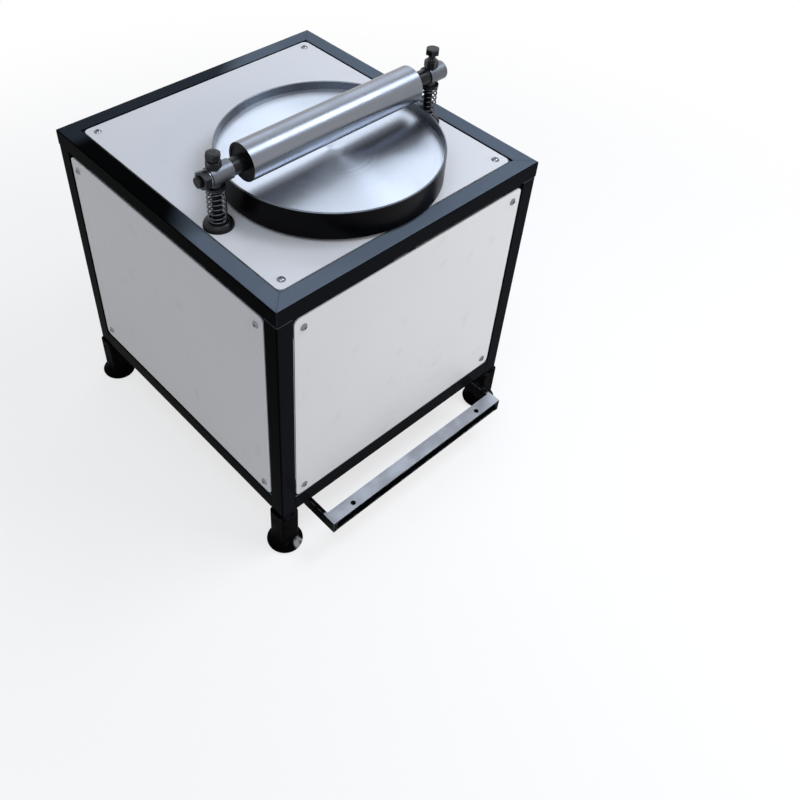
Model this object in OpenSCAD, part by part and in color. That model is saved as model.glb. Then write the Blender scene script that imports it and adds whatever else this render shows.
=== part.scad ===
// Papad rolling machine: a turning dish under a foot pressed roller, on a tube frame with panels.
// Millimetres, +Z up, X along the front, -Y to the front. The origin is on the floor, at the
// centre of the whole machine's plan. The modules place their pieces from the frame's own centre.

/* [Frame] */
// Outside width of the frame, left to right
frame_w = 457; // [430:1:500]
// Outside depth of the frame, front to back
frame_d = 482; // [450:1:520]
// Top of the frame above the floor
frame_top = 488; // [460:1:540]
// Underside of the bottom rails above the floor
rail_under = 80; // [70:1:95]
// Side of the square frame tube
tube = 25.4; // [22:0.1:28]
// Wall of the frame tube
tube_wall = 2; // [1.5:0.1:3]
// Outside corner radius of the frame tube
tube_r = 2.4; // [1:0.1:4]
// Height of the bottom rails
bottom_rail_h = 29; // [26:1:38]

/* [Feet] */
// Diameter of a rubber foot on the floor
foot_d = 54; // [48:1:60]
// Height of the foot's flare
foot_flare_h = 22; // [16:1:30]
// Rounded edge of the foot at the floor
foot_lip = 4; // [2:0.5:6]
// Rubber under the post
foot_sole = 10; // [6:1:14]
// Wall of the square rubber boot above the flare
boot_wall = 3; // [2:0.5:4]
// Bare post between the boot and the bottom rail
boot_gap = 4; // [2:0.5:10]

/* [Panels] */
// Thickness of the panel sheet
panel_t = 2; // [1:0.1:3]
// Gap between a panel and the tubes round it, but for the rail over a side panel
panel_gap = 1.5; // [0.5:0.1:3]
// Gap between a side panel and the top rail over it
panel_top_gap = 5; // [1:0.1:10]
// How far a panel lies inside the frame's face
panel_recess = 1; // [0.5:0.1:2]
// Corner radius of a panel
panel_r = 8; // [2:0.5:12]
// Side of a corner tab
tab_size = 34; // [30:1:42]
// Thickness of a corner tab
tab_t = 3; // [2:0.1:5]
// Screw centre from the tube beside it
screw_side = 16; // [12:0.5:20]
// Screw centre above a bottom rail
screw_low = 17; // [12:0.5:20]
// Screw centre below a top rail
screw_high = 23; // [12:0.5:24]
// Panel screw diameter
screw_d = 5; // [4:0.5:6]
// Panel screw head diameter
screw_head_d = 11; // [9:0.5:13]
// Panel screw head height
screw_head_h = 3; // [2:0.1:4]
// Panel screw length under its head
screw_len = 12; // [8:0.5:16]

/* [Dish] */
// Dish centre in front of the frame's centre
dish_forward = 72; // [60:1:84]
// Outside diameter of the dish
dish_d = 303.4; // [280:0.2:312]
// Rim of the dish above the top of the frame
rim_rise = 43.2; // [40:0.1:50]
// Depth of the dish's floor below its rim
dish_depth = 11.5; // [9:0.1:14]
// Thickness of the rim ring's wall
rim_wall = 3; // [2:0.1:5]
// Thickness of the dish's floor plate
floor_t = 6; // [5:0.1:8]
// Rim ring's lower edge above the frame
skirt_gap = 4; // [3:0.1:8]
// Width of the ledge that carries the floor plate
ledge_w = 9; // [6:0.5:14]
// Thickness of that ledge
ledge_t = 4; // [3:0.1:6]

/* [Roller] */
// Roller diameter
roller_d = 50.8; // [46:0.1:54]
// Roller length
roller_len = 282.8; // [262:0.2:284]
// Wall of the roller tube
roller_wall = 4; // [3:0.1:6]
// Gap between the resting roller and the dish's rim, measured upright
roller_lift = 4.4; // [3:0.1:8]
// Thickness of a roller end cap
cap_t = 8; // [6:0.5:12]
// End cap's face inside the roller's end
cap_recess = 1; // [0.5:0.1:2]
// Outside diameter of a roller bush
roller_bush_d = 23; // [21:0.5:28]
// Length of a roller bush
roller_bush_len = 16; // [12:0.5:24]
// Diameter of the fixed shaft in the roller
shaft_d = 16; // [14:0.5:17]
// Distance of an end cap screw from the roller's axis
cap_screw_r = 16; // [14.5:0.5:17]
// End cap screw diameter
cap_screw_d = 3; // [2:0.5:3.5]

/* [Roller holders] */
// Pull rod diameter
rod_d = 12; // [10:0.5:14]
// Boss diameter
boss_d = 25.4; // [24:0.1:30]
// Length of the right boss
boss_len = 29; // [26:0.5:34]
// Room between the left boss and the roller, filled by a spacer collar
spacer_left = 19.1; // [12:0.1:22]
// Boss length to the left of its pull rod
boss_left = 8.5; // [8.5:0.5:11]
// Diameter of the neck under a boss
neck_d = 16; // [15:0.5:17]
// Neck's lower face below the roller's axis
neck_drop = 14; // [13:0.5:18]
// Spring collar diameter
collar_d = 26; // [25.5:0.5:30]
// Spring collar height
collar_h = 3; // [2:0.5:6]
// Outside diameter of the spacer collars on the roller shaft
spacer_d = 22; // [20:0.5:24]
// Clamp bolt diameter
clamp_d = 10; // [8:0.5:11]
// Clamp bolt and lock nut size across flats
clamp_af = 17; // [15:0.5:19]
// Clamp bolt head height
clamp_head_h = 8; // [5:0.5:10]
// Lock nut height
lock_nut_h = 10; // [6:0.5:12]
// Bare thread between the lock nut and the bolt head, left
clamp_out_left = 2; // [1:0.5:8]
// Bare thread between the lock nut and the bolt head, right
clamp_out_right = 9; // [3:0.5:14]
// Flat cut on top of a boss for the lock nut, depth
spot_depth = 1.4; // [1:0.1:2]
// Thread diameter of the shaft's nut end
end_thread_d = 14; // [10:0.5:14]
// End nut size across flats
end_nut_af = 22; // [20:0.5:25]
// End nut height
end_nut_h = 10; // [8:0.5:12]
// End washer diameter
washer_d = 22; // [20:0.5:28]
// End washer thickness
washer_t = 2; // [1:0.1:3]
// Thread that shows past the end nut
thread_out = 5; // [2:0.5:8]
// Roller shaft's right end inside its boss
shaft_end_in = 3; // [1:0.5:6]
// Metal between a pull rod's top and the roller shaft
rod_cover = 2; // [1:0.1:2.5]

/* [Springs and guides] */
// Outside diameter of a spring
spring_d = 25; // [22.5:0.1:25.4]
// Spring wire diameter
wire_d = 2.3; // [1.8:0.1:2.6]
// Curls in a spring
spring_curls = 8; // [6:1:9]
// Diameter of a spring seat on the panel
seat_d = 40; // [34:0.5:44]
// Gap between a spring seat and the side rail beside it
seat_edge = 1.1; // [0.5:0.1:4]
// Height of a spring seat above the panel
seat_h = 9; // [6:0.5:11]
// Flat of a spring seat outside its spring
seat_lip = 1; // [0.5:0.1:2]
// Diameter of the seat's spigot through the panel
seat_spigot_d = 28; // [24:0.5:32]
// Thickness of a guide bracket
bracket_t = 6; // [4:0.5:8]
// Width of a guide bracket, front to back
bracket_w = 50; // [40:1:60]
// Guide bracket's top below the top panel
bracket_drop = 2; // [1:0.1:4]
// Outside diameter of a guide bush
guide_d = 18; // [16:0.5:22]
// Length of a guide bush below its bracket
guide_len = 30; // [20:1:40]
// Diameter of the guide bush's flange
guide_flange_d = 27; // [24:0.5:32]
// Thickness of the guide bush's flange
guide_flange_t = 3; // [2:0.1:5]

/* [Pedal] */
// Pedal bar's front edge ahead of the frame
pedal_out = 54; // [45:1:65]
// Pedal bar width, front to back
bar_w = 21; // [19:0.5:26]
// Pedal bar height
bar_h = 21; // [14:0.5:22]
// Pedal bar wall
bar_wall = 3; // [2:0.1:4]
// Distance between the two holes in the pedal bar
bar_hole_span = 266; // [220:1:300]
// Diameter of the holes in the pedal bar's upper flange
bar_hole_d = 8; // [6:0.5:9]
// Pedal arm thickness
arm_t = 6; // [5:0.5:7]
// Pedal arm height
arm_h = 22; // [21:0.5:25]
// Resting gap between the arms and the front bottom rail
arm_gap = 1.5; // [0.5:0.1:3]
// Pedal pivot ahead of the frame's rear face
pivot_in = 37; // [34:1:45]
// Pedal pivot shaft diameter
pivot_d = 12; // [10:0.5:13]
// Pivot bracket thickness
pivot_plate_t = 6; // [5:0.5:8]
// Pivot bracket's round end radius
pivot_plate_r = 14; // [12:0.5:16]
// Gap between an arm and its pivot bracket
pivot_side_gap = 5; // [2:0.5:8]
// Diameter of a pivot shaft collar
pivot_collar_d = 20; // [18:0.5:24]
// Thickness of a pivot shaft collar
pivot_collar_t = 6; // [4:0.5:8]
// Link pin diameter
pin_d = 8; // [6:0.5:9]
// Link pin head diameter
pin_head_d = 13; // [11:0.5:15]
// Link pin head thickness
pin_head_t = 2.5; // [2:0.1:4]
// Thickness of the flat eye on a pull rod
eye_t = 6; // [4:0.5:7]
// Radius of the eye's round end
eye_r = 11; // [9:0.5:13]
// Room along the eye's slot each way
slot_room = 1.5; // [1:0.1:3]
// Round rod's lower end above the arms
rod_end_rise = 15; // [12:0.5:20]

/* [Drive] */
// Distance between the two cross beams
beam_pitch = 100; // [92:1:116]
// Spindle diameter
spindle_d = 20; // [18:0.5:22]
// Bearing outside diameter
bearing_d = 42; // [38:0.5:46]
// Bearing width
bearing_w = 12; // [10:0.5:14]
// Spindle housing barrel diameter
housing_d = 62; // [56:1:70]
// Spindle housing length
housing_len = 115; // [90:1:125]
// Spindle housing flange width along the beams
housing_flange_w = 120; // [100:1:150]
// Spindle housing flange thickness
housing_flange_t = 10; // [8:0.5:14]
// Housing bolt distance from the spindle, along the beams
housing_bolt_x = 44; // [38:1:48]
// Housing bolt diameter
housing_bolt_d = 8; // [6:0.5:9]
// Spindle shoulder diameter
shoulder_d = 27; // [24:0.5:30]
// Spindle shoulder height
shoulder_h = 6; // [4:0.5:10]
// Spindle's lower end below the large pulley
spindle_tail = 4; // [2:0.5:6]
// Spindle's upper end below the dish's floor
spindle_head_gap = 2; // [1:0.5:4]
// Dish hub sleeve diameter
hub_d = 44; // [40:1:52]
// Dish hub flange diameter
hub_flange_d = 110; // [90:1:130]
// Dish hub flange thickness
hub_flange_t = 8; // [6:0.5:10]
// Pitch circle of the hub screws
hub_screw_pcd = 84; // [72:1:92]
// Hub screw diameter
hub_screw_d = 6; // [5:0.5:8]
// Metal of the dish's floor over the end of a hub screw
hub_screw_cover = 2; // [1:0.1:3]
// Room round the hub in the top panel
hub_hole_room = 10; // [5:1:20]
// Diameter of the large pulley under the belt
big_pulley_d = 180; // [160:1:200]
// Diameter of the small pulley under the belt
small_pulley_d = 60; // [54:1:70]
// Belt width
belt_w = 14; // [12:0.5:18]
// Belt thickness
belt_t = 4; // [3:0.1:5]
// Pulley flange height over the rim
pulley_flange_h = 6; // [5.5:0.1:8]
// Pulley flange thickness
pulley_flange_t = 2.5; // [2:0.1:4]
// Rim thickness of the large pulley
pulley_rim_t = 10; // [8:0.5:14]
// Room between the belt and a pulley's rim
belt_fit = 0.2; // [0.1:0.05:0.3]
// Web thickness of the large pulley
pulley_web_t = 8; // [6:0.5:10]
// Gap between the spindle housing and the large pulley
pulley_drop = 8; // [4:0.5:14]
// Distance between the spindle and the motor shaft
belt_centres = 180; // [165:1:200]
// Motor shaft diameter
motor_shaft_d = 15; // [12:0.5:17]
// Motor width
motor_w = 96; // [86:1:104]
// Motor height from its foot to the gear head
motor_h = 100; // [90:1:105]
// Gear head width
gear_head_w = 88; // [76:1:96]
// Gap between the motor's shaft boss and the small pulley
motor_boss_gap = 6; // [4:0.5:8]
// Height of the motor's shaft boss
motor_boss_h = 8; // [6:0.5:10]
// Wall of the motor's shaft boss
motor_boss_wall = 11; // [8:0.5:14]
// Motor shaft inside the gear head
shaft_socket = 24; // [18:0.5:30]
// Motor shaft's end above the small pulley
motor_shaft_out = 3; // [1:0.5:5]
// Motor foot thickness
motor_foot_t = 8; // [6:0.5:12]
// Motor foot's edge outside its bolt centres
motor_foot_edge = 8; // [7:0.5:14]
// Motor bolt centres
motor_bolt_span = 110; // [108:0.5:112]
// Motor bolt diameter
motor_bolt_d = 8; // [6:0.5:9]
// Motor plate thickness
motor_plate_t = 6; // [4:0.5:8]

/* [Electrics] */
// Switch centre left of the middle, seen from behind
switch_x = 120; // [90:1:150]
// Switch centre above the floor
switch_z = 400; // [340:1:410]
// Switch opening width
switch_w = 21; // [18:0.5:26]
// Switch opening height
switch_h = 27; // [25:0.5:32]
// Switch body depth behind the panel
switch_depth = 22; // [18:0.5:30]
// Switch bezel width
bezel_w = 2.5; // [2:0.1:4]
// Switch bezel thickness
bezel_t = 2; // [1.5:0.1:3]
// Rocker pin diameter
rocker_pin_d = 3; // [2:0.5:4]
// Rocker pin's reach into the switch body
rocker_pin_in = 1.2; // [0.8:0.1:2]
// Rocker's ends above the bezel
rocker_rise = 1; // [0.5:0.1:2]
// Resting tilt of the rocker
rocker_tilt = 10; // [6:0.5:12]
// Cable gland thread diameter
gland_d = 16; // [14:0.5:20]
// Cable gland bore
gland_bore_d = 8; // [6:0.5:9]
// Cable gland cap length outside the panel
gland_cap_len = 12; // [9:0.5:13]
// Cable gland centre above the floor
gland_z = 160; // [145:1:200]

/* [Fits] */
// Clearance of a turning or sliding fit, on the radius
run_fit = 0.05; // [0.02:0.01:0.1]
// Clearance of a fixed seat, on the radius
seat_fit = 0.1; // [0.05:0.01:0.2]
// Clearance of a bolt in its hole, on the radius
bolt_fit = 0.2; // [0.1:0.05:0.4]
// Gap between pieces that pass each other
pass_gap = 0.5; // [0.3:0.05:0.8]

/* [Hidden] */
$fn = 64;
fine = 0.01;

// Frame levels and tube centres
post_cx = frame_w / 2 - tube / 2;
post_cy = frame_d / 2 - tube / 2;
inner_x = frame_w / 2 - tube;
inner_y = frame_d / 2 - tube;
ring_under = frame_top - tube;
rail_top = rail_under + bottom_rail_h;
side_open_h = ring_under - rail_top;
side_mid_z = (ring_under + rail_top) / 2;
boot_w = tube + 2 * seat_fit + 2 * boot_wall;

// Panels, screws and tabs
FACES = ["front", "rear", "left", "right", "top"];
panel_top = frame_top - panel_recess;
panel_under = panel_top - panel_t;

// Dish
dish_y = -dish_forward;
rim_z = frame_top + rim_rise;
floor_z = rim_z - dish_depth;
floor_under = floor_z - floor_t;
skirt_z = frame_top + skirt_gap;
rim_in_r = dish_d / 2 - rim_wall;

// A pull rod stands as near to the side rail as its spring seat lets it, and its spring clears the dish
post_x = max(inner_x - seat_edge - seat_d / 2, dish_d / 2 + pass_gap + spring_d / 2);

// Roller and its holders: the left boss reaches past its lock nut, and both necks past the end nut
roller_z = rim_z + roller_lift + roller_d / 2;
boss_reach = max(boss_left, clamp_af / 2);
end_nut_r = max(end_nut_af / cos(30), washer_d) / 2;
neck_len = max(neck_drop, end_nut_r + run_fit);
neck_z = roller_z - neck_len;
collar_z = neck_z - collar_h;
rod_top = roller_z - shaft_d / 2 - rod_cover;
seat_top = panel_top + seat_h;
spot_z = roller_z + boss_d / 2 - spot_depth;
left_boss_ends = [-boss_reach, post_x - roller_len / 2 - spacer_left];
right_boss_ends = [-boss_left, boss_len - boss_left];
shaft_left = -post_x - boss_reach - washer_t - end_nut_h - thread_out;
shaft_right = post_x + right_boss_ends[1] - shaft_end_in;
bracket_top = panel_under - bracket_drop;

// Springs
spring_len = collar_z - seat_top;
coil_r = (spring_d - wire_d) / 2;
CURL_RINGS = 8;
WIRE_SIDES = 6;

// Pedal
pedal_front = -frame_d / 2 - pedal_out;
arm_top = rail_under - arm_gap;
pivot_y = frame_d / 2 - pivot_in;
pivot_z = arm_top - arm_h / 2;
arm_x = post_x - eye_t / 2 - pass_gap - arm_t / 2;
arm_out = arm_x + arm_t / 2;
arm_in = arm_x - arm_t / 2;
eye_out = post_x + eye_t / 2;
pivot_plate_x = arm_out + pivot_side_gap;
pivot_plate_out = pivot_plate_x + pivot_plate_t;
bar_hole_y = pedal_front + (bar_w - bar_wall) / 2;

// Drive
beam_under = panel_under - tube;
housing_under = beam_under - housing_len;
shoulder_z = beam_under + seat_fit;
hub_under = shoulder_z + shoulder_h;
hub_top = floor_under;
pulley_face_w = belt_w + 2 * pass_gap;
pulley_w = pulley_face_w + 2 * pulley_flange_t;
pulley_top = housing_under - pulley_drop;
belt_z = pulley_top - pulley_w / 2;
pulley_low = pulley_top - pulley_w;
spindle_low = pulley_low - spindle_tail;
spindle_high = hub_top - spindle_head_gap;
hub_screw_bite = floor_t - hub_screw_cover;
motor_y = dish_y + belt_centres;
plate_top = rail_top + motor_plate_t;
gear_head_z = plate_top + motor_foot_t + motor_h;
motor_foot_w = motor_bolt_span + 2 * motor_foot_edge;
motor_bolt_af = 1.6 * motor_bolt_d;
motor_boss_d = motor_shaft_d + 2 * motor_boss_wall;
motor_boss_top = pulley_low - motor_boss_gap;
gear_head_top = motor_boss_top - motor_boss_h;

// Rear panel fittings
switch_pivot_depth = 3;
rocker_half = switch_h / 2 - bezel_w - pass_gap;

// The whole plan runs from the pedal bar to the rear feet: this brings its centre to the origin
plan_shift = -(pedal_front + post_cy + foot_d / 2) / 2;

// Shapes that repeat

module rounded_rect(w, h, r) {
    square([w - 2 * r, h], center = true);
    square([w, h - 2 * r], center = true);
    for (sx = [-1, 1], sy = [-1, 1])
        translate([sx * (w / 2 - r), sy * (h / 2 - r)])
            circle(r = r);
}

module tube_section(w, h) {
    difference() {
        rounded_rect(w, h, tube_r);
        rounded_rect(w - 2 * tube_wall, h - 2 * tube_wall, max(tube_r - tube_wall, 0.4));
    }
}

module tube_x(len, w, h) {
    rotate([90, 0, 90])
        linear_extrude(len, center = true)
            tube_section(w, h);
}

module tube_y(len, w, h) {
    rotate([90, 0, 0])
        linear_extrude(len, center = true)
            tube_section(w, h);
}

module rod_x(d, x0, x1) {
    translate([x0, 0, 0])
        rotate([0, 90, 0])
            cylinder(d = d, h = x1 - x0);
}

module ring(d_out, d_in, h) {
    difference() {
        cylinder(d = d_out, h = h);
        translate([0, 0, -1])
            cylinder(d = d_in, h = h + 2);
    }
}

module hex(across_flats, h) {
    cylinder(d = across_flats / cos(30), h = h, $fn = 6);
}

// Hex bolt, head down on z = 0 and shank below it
module hex_bolt(d, across_flats, head_h, len) {
    hex(across_flats, head_h);
    translate([0, 0, -len])
        cylinder(d = d, h = len + fine);
}

module hex_nut(d, across_flats, h) {
    difference() {
        hex(across_flats, h);
        translate([0, 0, -1])
            cylinder(d = d + 2 * seat_fit, h = h + 2);
    }
}

module both_sides() {
    for (side = [-1, 1])
        translate([side * post_x, dish_y, 0])
            children();
}

// Frame

module post(sx, sy) {
    color("#15161a")
        translate([sx * post_cx, sy * post_cy, foot_sole])
            linear_extrude(ring_under - foot_sole)
                tube_section(tube, tube);
}

module post_front_left() {
    post(-1, -1);
}

module post_front_right() {
    post(1, -1);
}

module post_rear_left() {
    post(-1, 1);
}

module post_rear_right() {
    post(1, 1);
}

// Top rail with mitred ends, its outer side at -Y
module mitred_rail(len) {
    color("#15161a")
        intersection() {
            tube_x(len, tube, tube);
            linear_extrude(2 * tube, center = true)
                polygon([
                    [-len / 2, -tube / 2],
                    [len / 2, -tube / 2],
                    [len / 2 - tube, tube / 2],
                    [-len / 2 + tube, tube / 2]
                ]);
        }
}

module top_rail_front() {
    translate([0, -post_cy, frame_top - tube / 2])
        mitred_rail(frame_w);
}

module top_rail_rear() {
    translate([0, post_cy, frame_top - tube / 2])
        rotate([0, 0, 180])
            mitred_rail(frame_w);
}

module top_rail_left() {
    translate([-post_cx, 0, frame_top - tube / 2])
        rotate([0, 0, -90])
            mitred_rail(frame_d);
}

module top_rail_right() {
    translate([post_cx, 0, frame_top - tube / 2])
        rotate([0, 0, 90])
            mitred_rail(frame_d);
}

module bottom_rail_x(sy) {
    color("#15161a")
        translate([0, sy * post_cy, rail_under + bottom_rail_h / 2])
            tube_x(2 * inner_x, tube, bottom_rail_h);
}

module bottom_rail_y(sx) {
    color("#15161a")
        translate([sx * post_cx, 0, rail_under + bottom_rail_h / 2])
            tube_y(2 * inner_y, tube, bottom_rail_h);
}

module bottom_rail_front() {
    bottom_rail_x(-1);
}

module bottom_rail_rear() {
    bottom_rail_x(1);
}

module bottom_rail_left() {
    bottom_rail_y(-1);
}

module bottom_rail_right() {
    bottom_rail_y(1);
}

// Feet

function foot_outline() =
    let (r = foot_d / 2, top_r = boot_w / 2)
    concat(
        [[0, 0]],
        [for (a = [-90 : 30 : 0]) [r - foot_lip + foot_lip * cos(a), foot_lip + foot_lip * sin(a)]],
        [for (t = [0.125 : 0.125 : 1])
            [top_r + (r - top_r) * pow(1 - t, 2), foot_lip + (foot_flare_h - foot_lip) * t]],
        [[0, foot_flare_h]]
    );

module rubber_foot() {
    difference() {
        union() {
            rotate_extrude()
                polygon(foot_outline());
            translate([0, 0, foot_lip])
                linear_extrude(rail_under - boot_gap - foot_lip)
                    rounded_rect(boot_w, boot_w, tube_r + boot_wall);
        }
        translate([0, 0, foot_sole])
            linear_extrude(rail_under)
                rounded_rect(tube + 2 * seat_fit, tube + 2 * seat_fit, tube_r);
    }
}

module rubber_feet() {
    color("#101012")
        for (sx = [-1, 1], sy = [-1, 1])
            translate([sx * post_cx, sy * post_cy, 0])
                rubber_foot();
}

// Panels: each face has local x to the right seen from outside, y up and z outwards

function face_w(face) = face == "left" || face == "right" ? 2 * inner_y : 2 * inner_x;
function face_h(face) = face == "top" ? 2 * inner_y : side_open_h;

module on_face(face) {
    if (face == "front")
        translate([0, -frame_d / 2, side_mid_z])
            rotate([90, 0, 0])
                children();
    if (face == "rear")
        translate([0, frame_d / 2, side_mid_z])
            rotate([90, 0, 180])
                children();
    if (face == "left")
        translate([-frame_w / 2, 0, side_mid_z])
            rotate([90, 0, -90])
                children();
    if (face == "right")
        translate([frame_w / 2, 0, side_mid_z])
            rotate([90, 0, 90])
                children();
    if (face == "top")
        translate([0, 0, frame_top])
            children();
}

function screw_spots(face) =
    let (
        x = face_w(face) / 2 - screw_side,
        high = face_h(face) / 2 - (face == "top" ? screw_side : screw_high),
        low = face_h(face) / 2 - (face == "top" ? screw_side : screw_low)
    )
    [[-x, high], [x, high], [-x, -low], [x, -low]];

module panel_sheet(face) {
    top_gap = face == "top" ? panel_gap : panel_top_gap;
    sheet_h = face_h(face) - panel_gap - top_gap;
    translate([0, 0, -panel_recess - panel_t])
        difference() {
            translate([0, (panel_gap - top_gap) / 2, 0])
                linear_extrude(panel_t)
                    rounded_rect(face_w(face) - 2 * panel_gap, sheet_h, panel_r);
            for (spot = screw_spots(face))
                translate([spot[0], spot[1], -1])
                    cylinder(d = screw_d + 2 * bolt_fit, h = panel_t + 2);
        }
}

module top_panel() {
    color("#d4dae0")
        difference() {
            on_face("top")
                panel_sheet("top");
            translate([0, dish_y, panel_under - 1])
                cylinder(d = hub_d + 2 * hub_hole_room, h = panel_t + 2);
            both_sides()
                translate([0, 0, panel_under - 1])
                    cylinder(d = seat_spigot_d + 2 * bolt_fit, h = panel_t + 2);
        }
}

module front_panel() {
    color("#cdd2d6")
        on_face("front")
            panel_sheet("front");
}

module left_panel() {
    color("#cdd2d6")
        on_face("left")
            panel_sheet("left");
}

module right_panel() {
    color("#cdd2d6")
        on_face("right")
            panel_sheet("right");
}

module rear_panel() {
    color("#cdd2d6")
        difference() {
            on_face("rear")
                panel_sheet("rear");
            on_switch()
                translate([0, 0, -panel_t])
                    cube([switch_w + 2 * seat_fit, switch_h + 2 * seat_fit, 4 * panel_t], center = true);
            on_gland()
                translate([0, 0, -panel_t - 1])
                    cylinder(d = gland_d + 2 * bolt_fit, h = panel_t + 2);
        }
}

module panel_tabs() {
    color("#1b1c20")
        for (face = FACES)
            on_face(face)
                for (spot = screw_spots(face))
                    difference() {
                        translate([
                            sign(spot[0]) * (face_w(face) - tab_size) / 2,
                            sign(spot[1]) * (face_h(face) - tab_size) / 2,
                            -panel_recess - panel_t - tab_t / 2
                        ])
                            cube([tab_size, tab_size, tab_t], center = true);
                        translate([spot[0], spot[1], -panel_recess - panel_t - tab_t - 1])
                            cylinder(d = screw_d + 2 * seat_fit, h = tab_t + 2);
                    }
}

// Domed head on z = 0, with a cross recess
module pan_screw() {
    dome_r = (pow(screw_head_d / 2, 2) + pow(screw_head_h, 2)) / (2 * screw_head_h);
    slot_w = screw_head_d / 9;
    slot_len = screw_head_d / 2;
    difference() {
        intersection() {
            translate([0, 0, screw_head_h - dome_r])
                sphere(r = dome_r);
            cylinder(d = 2 * screw_head_d, h = 2 * screw_head_h);
        }
        for (turn = [0, 90])
            rotate([0, 0, turn])
                translate([0, 0, screw_head_h])
                    cube([slot_len, slot_w, screw_head_h], center = true);
    }
    translate([0, 0, -screw_len])
        cylinder(d = screw_d, h = screw_len + fine);
}

module panel_screws() {
    color("#b9bcc0")
        for (face = FACES)
            on_face(face)
                for (spot = screw_spots(face))
                    translate([spot[0], spot[1], -panel_recess])
                        rotate([0, 0, 23])
                            pan_screw();
}

// Guides and springs

module guide_brackets() {
    color("#1b1c20")
        for (side = [-1, 1])
            difference() {
                translate([
                    side * (inner_x + post_x - seat_spigot_d) / 2,
                    dish_y,
                    bracket_top - bracket_t / 2
                ])
                    cube([inner_x - post_x + seat_spigot_d, bracket_w, bracket_t], center = true);
                translate([side * post_x, dish_y, bracket_top - bracket_t - 1])
                    cylinder(d = guide_d + 2 * seat_fit, h = bracket_t + 2);
            }
}

module guide_bushes() {
    bush_low = bracket_top - bracket_t - guide_len;
    color("#b08d57")
        both_sides()
            difference() {
                union() {
                    translate([0, 0, bush_low])
                        cylinder(d = guide_d, h = bracket_top - bush_low);
                    translate([0, 0, bracket_top - bracket_t - guide_flange_t])
                        cylinder(d = guide_flange_d, h = guide_flange_t);
                }
                translate([0, 0, bush_low - 1])
                    cylinder(d = rod_d + 2 * run_fit, h = guide_len + bracket_t + 2);
            }
}

function seat_outline() =
    let (r = seat_d / 2, top_r = spring_d / 2 + seat_lip, bore_r = rod_d / 2 + run_fit)
    concat(
        [[bore_r, bracket_top], [seat_spigot_d / 2, bracket_top], [seat_spigot_d / 2, panel_top]],
        [for (a = [0 : 15 : 90]) [top_r + (r - top_r) * cos(a), panel_top + seat_h * sin(a)]],
        [[bore_r, seat_top]]
    );

module spring_seats() {
    color("#1d1e22")
        difference() {
            both_sides()
                rotate_extrude()
                    polygon(seat_outline());
            translate([0, dish_y, panel_top])
                cylinder(d = dish_d + 2 * pass_gap, h = rim_rise);
        }
}

// A spring's centre line: a helix whose ends turn upright and meet the seat and the collar squarely
function coil_angle(i) = 360 * i / CURL_RINGS;
function coil_last() = spring_curls * CURL_RINGS;
function coil_z(i) =
    seat_top + wire_d + (spring_len - 2 * wire_d) * i / coil_last();
function coil_point(i, z) = [coil_r * cos(coil_angle(i)), coil_r * sin(coil_angle(i)), z];
function coil_line() = concat(
    [coil_point(0, seat_top)],
    [for (i = [0 : coil_last()]) coil_point(i, coil_z(i))],
    [coil_point(coil_last(), collar_z)]
);
function unit(v) = v / norm(v);
function coil_along(line, i) =
    i == 0 || i == len(line) - 1
        ? [0, 0, 1]
        : unit(unit(line[i + 1] - line[i]) + unit(line[i] - line[i - 1]));
function wire_ring(line, i) =
    let (
        along = coil_along(line, i),
        out = unit([line[i][0], line[i][1], 0]),
        side = cross(along, out)
    )
    [for (s = [0 : WIRE_SIDES - 1])
        line[i] + wire_d / 2 * (cos(360 * s / WIRE_SIDES) * out + sin(360 * s / WIRE_SIDES) * side)];
function wall_faces(rings) = [
    for (i = [0 : rings - 2], s = [0 : WIRE_SIDES - 1], half = [0, 1])
        let (
            a = i * WIRE_SIDES + s,
            b = i * WIRE_SIDES + (s + 1) % WIRE_SIDES,
            c = a + WIRE_SIDES,
            d = b + WIRE_SIDES
        )
        half == 0 ? [a, c, b] : [b, c, d]
];
function end_faces(first, flip) = [
    for (s = [1 : WIRE_SIDES - 2])
        flip ? [first, first + s + 1, first + s] : [first, first + s, first + s + 1]
];
// Least distance between points half a curl or more apart, less the wire
function least_gap(line) = min([
    for (i = [0 : len(line) - 1], j = [i + CURL_RINGS / 2 : 1 : len(line) - 1])
        norm(line[i] - line[j]) - wire_d
]);

module coil_spring() {
    line = coil_line();
    rings = len(line);
    echo("least gap between curls, mm", least_gap(line));
    polyhedron(
        points = [for (i = [0 : rings - 1]) each wire_ring(line, i)],
        faces = concat(
            wall_faces(rings),
            end_faces(0, false),
            end_faces((rings - 1) * WIRE_SIDES, true)
        )
    );
}

module spring_left() {
    color("#8d9095")
        translate([-post_x, dish_y, 0])
            coil_spring();
}

module spring_right() {
    color("#8d9095")
        translate([post_x, dish_y, 0])
            coil_spring();
}

// Spindle and dish

module cross_beams() {
    color("#15161a")
        for (sy = [-1, 1])
            difference() {
                translate([0, dish_y + sy * beam_pitch / 2, panel_under - tube / 2])
                    tube_x(2 * inner_x, tube, tube);
                for (sx = [-1, 1])
                    translate([sx * housing_bolt_x, dish_y + sy * beam_pitch / 2, beam_under - 1])
                        cylinder(d = housing_bolt_d + 2 * seat_fit, h = tube_wall + 2);
            }
}

module at_housing_bolts() {
    for (sx = [-1, 1], sy = [-1, 1])
        translate([sx * housing_bolt_x, dish_y + sy * beam_pitch / 2, 0])
            children();
}

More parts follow.
